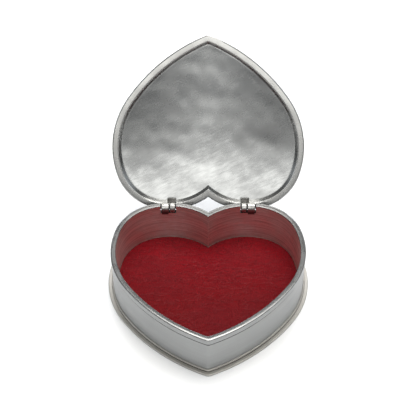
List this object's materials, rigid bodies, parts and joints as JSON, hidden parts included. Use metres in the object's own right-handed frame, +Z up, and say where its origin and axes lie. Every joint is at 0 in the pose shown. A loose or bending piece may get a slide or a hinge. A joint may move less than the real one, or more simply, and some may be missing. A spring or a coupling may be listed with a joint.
{
  "type": "hinged keepsake box",
  "caption": "Heart-shaped pewter keepsake box with a hinged lid and a leather-lined floor, lid open on its stop.",
  "frame": {"origin": "middle of the flat underside, halfway between the lobes and the point of the heart", "axes": "+Z up, +Y from the point of the heart to its lobes and the hinges, +X to the right as seen from the point"},
  "size_m": [0.1048, 0.1494, 0.0958],
  "materials": {
    "bright_pewter": "polished",
    "satin_pewter": "satin",
    "hinge_pewter": "polished",
    "red_leather": "semi-matte grain",
    "grey_card": "matte"
  },
  "bodies": {
    "box": {"base_plate": "bright_pewter", "body_wall": "satin_pewter", "rim_band": "bright_pewter", "rim_band_cleft": "bright_pewter", "floor_card": "grey_card", "floor_leather": "red_leather", "hinge_body_leaf_left": "hinge_pewter", "hinge_body_leaf_right": "hinge_pewter", "hinge_pin_left": "hinge_pewter", "hinge_pin_right": "hinge_pewter"},
    "lid": {"lid_frame": "bright_pewter", "lid_panel": "satin_pewter", "hinge_lid_leaf_left": "hinge_pewter", "hinge_lid_leaf_right": "hinge_pewter"}
  },
  "joints": [
    {"name": "lid_hinge", "type": "hinge", "parent": "box", "child": "lid", "pos_m": [0, 0.0444, 0.0233], "axis": [1, 0, 0], "range_deg": [0, 124.92]}
  ]
}
